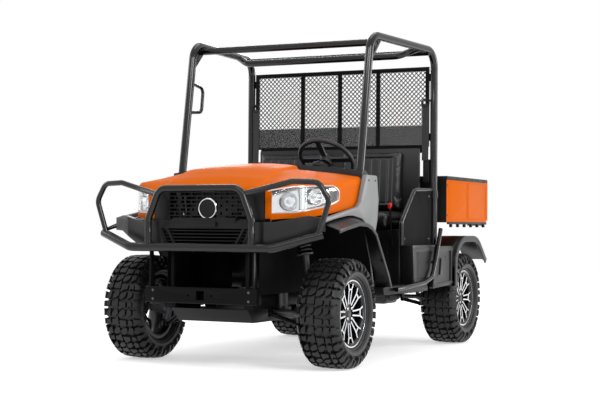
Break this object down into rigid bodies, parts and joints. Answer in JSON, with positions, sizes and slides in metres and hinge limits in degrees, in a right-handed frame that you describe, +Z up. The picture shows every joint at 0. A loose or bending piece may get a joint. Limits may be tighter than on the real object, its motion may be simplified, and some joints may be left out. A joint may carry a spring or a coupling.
{
  "type": "side by side utility vehicle",
  "caption": "Open two-seat utility vehicle with tubular roll frame, front brush guard, hinged hood and tilting cargo bed with drop tailgate.",
  "frame": {"origin": "on the ground, in the middle of the vehicle's length and width", "axes": "+Z up, front towards -Y, the vehicle's left towards +X"},
  "size_m": [1.564, 3.055, 2.02],
  "materials": {
    "frame_black": "semi-gloss black paint",
    "tube_black": "gloss black powder coat",
    "body_orange": "gloss orange paint",
    "plastic_dark": "matt charcoal moulded plastic",
    "plastic_black": "matt black moulded plastic",
    "plastic_silver": "metallic grey moulded plastic",
    "seat_vinyl": "black vinyl",
    "screen_black": "black painted mesh",
    "engine_metal": "cast, dull",
    "cast_metal": "cast, dull dark",
    "spring_black": "satin black paint",
    "bare_steel": "heat-dulled steel",
    "lamp_red": "red lens",
    "wheel_grip": "soft black grip",
    "lamp_clear": "clear lens over reflector",
    "chrome_rod": "polished",
    "tyre": "matt black rubber",
    "rim_alloy": "black with machined edges"
  },
  "bodies": {
    "chassis": {"chassis_frame": "frame_black", "hitch_receiver": "frame_black", "skid_plate": "plastic_dark", "front_beam": "frame_black", "brush_guard": "tube_black", "front_fascia": "plastic_dark", "grille": "plastic_black", "cowl_sides": "plastic_silver", "dashboard": "plastic_dark", "floor_pan": "plastic_dark", "front_fenders": "plastic_dark", "seat_base": "plastic_dark", "seat_cushions": "seat_vinyl", "seat_backs": "seat_vinyl", "rear_bulkhead": "plastic_dark", "side_panels": "plastic_dark", "sills": "plastic_black", "hip_guards": "plastic_dark", "roll_frame": "tube_black", "rear_screen": "screen_black", "belt_retractors": "plastic_black", "engine_block": "engine_metal", "front_drive": "cast_metal", "rear_drive": "cast_metal", "suspension_arms": "frame_black", "struts": "spring_black", "rear_hubs": "cast_metal", "steering_column": "frame_black", "rear_fenders": "plastic_dark", "muffler": "bare_steel", "tail_lamps": "lamp_red"},
    "steering_wheel": {"steering_wheel": "wheel_grip"},
    "knuckle_left": {"knuckle_left": "cast_metal"},
    "knuckle_right": {"knuckle_right": "cast_metal"},
    "wheel_front_left": {"tyre_front_left": "tyre", "rim_front_left": "rim_alloy"},
    "wheel_front_right": {"tyre_front_right": "tyre", "rim_front_right": "rim_alloy"},
    "wheel_rear_left": {"tyre_rear_left": "tyre", "rim_rear_left": "rim_alloy"},
    "wheel_rear_right": {"tyre_rear_right": "tyre", "rim_rear_right": "rim_alloy"},
    "hood": {"hood": "body_orange", "headlamps": "lamp_clear"},
    "bed": {"cargo_bed": "body_orange"},
    "tailgate": {"tailgate": "body_orange"},
    "dump_barrel": {"dump_barrel": "frame_black"},
    "dump_rod": {"dump_rod": "chrome_rod"}
  },
  "joints": [
    {"name": "steering_turn", "type": "hinge", "parent": "chassis", "child": "steering_wheel", "pos_m": [0.275, -0.385, 1.24], "axis": [0, 0.6428, 0.766], "range_deg": [-480, 480]},
    {"name": "steer_left", "type": "hinge", "parent": "chassis", "child": "knuckle_left", "pos_m": [0.505, -1.0225, 0.222], "axis": [-0.1525, 0, 0.9883], "range_deg": [-30.5, 30.5]},
    {"name": "steer_right", "type": "hinge", "parent": "chassis", "child": "knuckle_right", "pos_m": [-0.505, -1.0225, 0.222], "axis": [0.1525, 0, 0.9883], "range_deg": [-30.5, 30.5]},
    {"name": "spin_front_left", "type": "hinge", "parent": "knuckle_left", "child": "wheel_front_left", "pos_m": [0.645, -1.0225, 0.318], "axis": [1, 0, 0], "continuous": true},
    {"name": "spin_front_right", "type": "hinge", "parent": "knuckle_right", "child": "wheel_front_right", "pos_m": [-0.645, -1.0225, 0.318], "axis": [1, 0, 0], "continuous": true},
    {"name": "spin_rear_left", "type": "hinge", "parent": "chassis", "child": "wheel_rear_left", "pos_m": [0.602, 1.0225, 0.318], "axis": [1, 0, 0], "continuous": true},
    {"name": "spin_rear_right", "type": "hinge", "parent": "chassis", "child": "wheel_rear_right", "pos_m": [-0.602, 1.0225, 0.318], "axis": [1, 0, 0], "continuous": true},
    {"name": "hood_open", "type": "hinge", "parent": "chassis", "child": "hood", "pos_m": [0, -0.69, 1.178], "axis": [-1, 0, 0], "range_deg": [0, 55]},
    {"name": "bed_tilt", "type": "hinge", "parent": "chassis", "child": "bed", "pos_m": [0, 1.235, 0.775], "axis": [-1, 0, 0], "range_deg": [0, 40]},
    {"name": "tailgate_open", "type": "hinge", "parent": "bed", "child": "tailgate", "pos_m": [0, 1.43, 0.838], "axis": [-1, 0, 0], "range_deg": [0, 90]},
    {"name": "dump_foot", "type": "hinge", "parent": "chassis", "child": "dump_barrel", "pos_m": [0, 1, 0.484], "axis": [-1, 0, 0], "range_deg": [0, 20.96]},
    {"name": "dump_stroke", "type": "slide", "parent": "dump_barrel", "child": "dump_rod", "axis": [0, -0.4176, 0.9086], "range_m": [0, 0.2099]}
  ],
  "couplings": [
    {"joint": "steer_left", "follows": "steering_turn", "ratio": 0.0625},
    {"joint": "steer_right", "follows": "steering_turn", "ratio": 0.0625},
    {"joint": "dump_foot", "follows": "bed_tilt", "ratio": 0.51904},
    {"joint": "dump_stroke", "follows": "bed_tilt", "m_per_rad": 0.29775}
  ]
}
